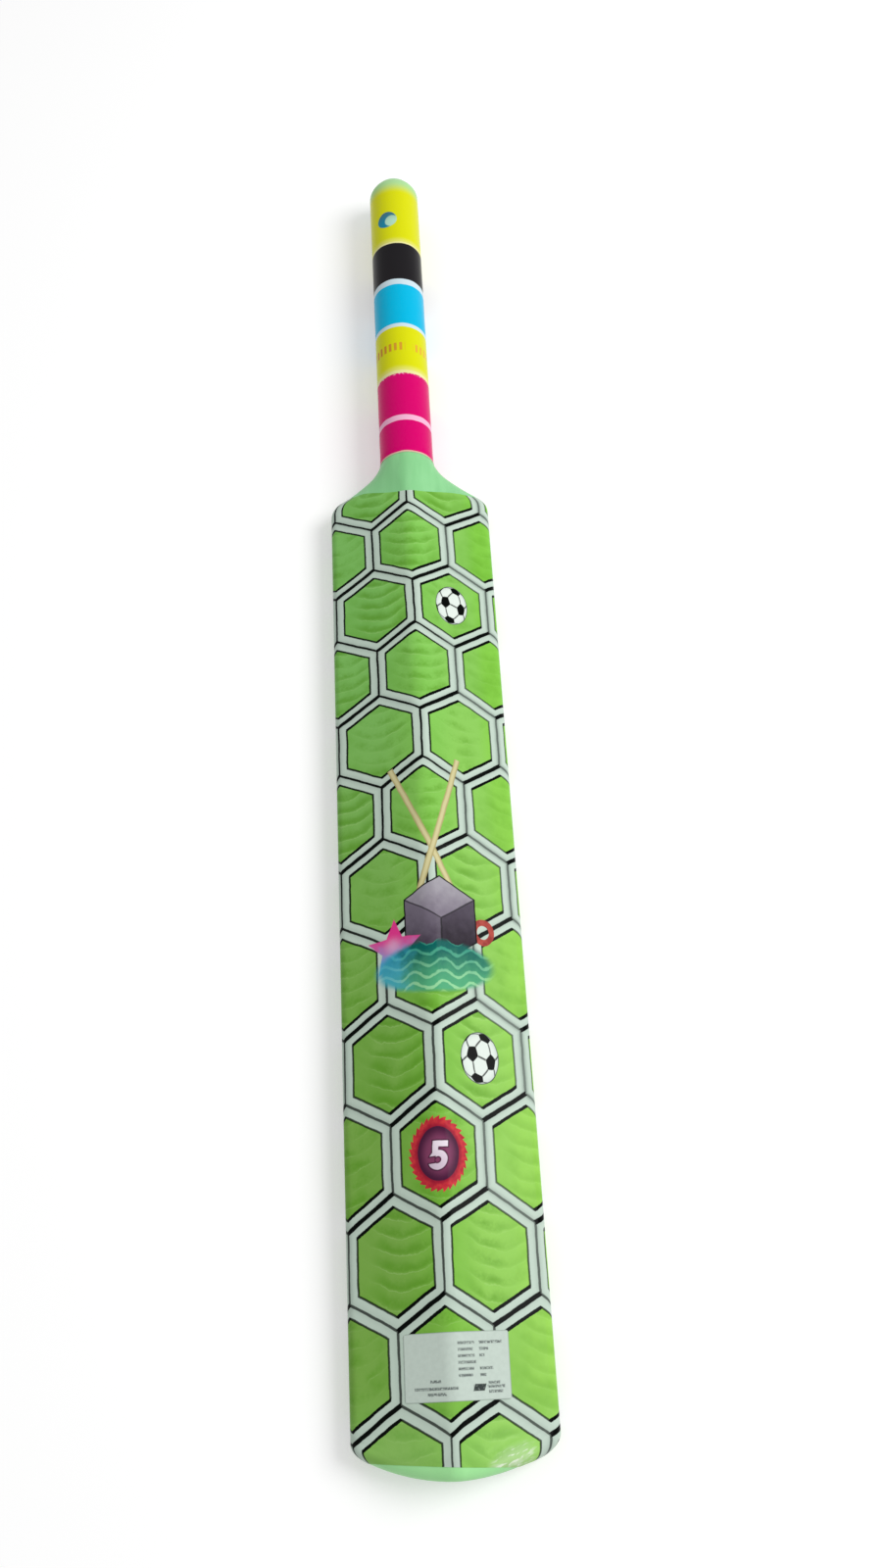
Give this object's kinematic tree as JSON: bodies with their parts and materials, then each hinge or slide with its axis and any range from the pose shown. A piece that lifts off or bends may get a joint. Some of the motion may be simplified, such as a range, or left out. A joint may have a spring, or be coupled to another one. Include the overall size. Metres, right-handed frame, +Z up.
{
  "type": "plastic cricket bat",
  "caption": "Light hollow plastic cricket bat: round handle, sloped shoulders, flat batting face, ridged back, shrunk printed sleeves.",
  "frame": {"origin": "centre of the bat's box in X and Y, at the height of the flat batting face that it lies on", "axes": "+Y along the bat from the toe to the end of the handle, +X across the blade, +Z up from the flat batting face to the ridged back"},
  "size_m": [0.09, 0.7466, 0.034],
  "materials": {
    "mint_plastic": "satin moulded polyethylene, mint green",
    "stopper_plastic": "soft satin plastic, mint green",
    "printed_film": "glossy shrink film printed with a green honeycomb",
    "banded_film": "glossy shrink film printed in wide colour bands",
    "label_paper": "coated white paper sticker"
  },
  "bodies": {
    "root": {"bat_body": "mint_plastic", "end_plug": "stopper_plastic", "blade_sleeve": "printed_film", "handle_sleeve": "banded_film", "price_label": "label_paper"}
  },
  "joints": []
}
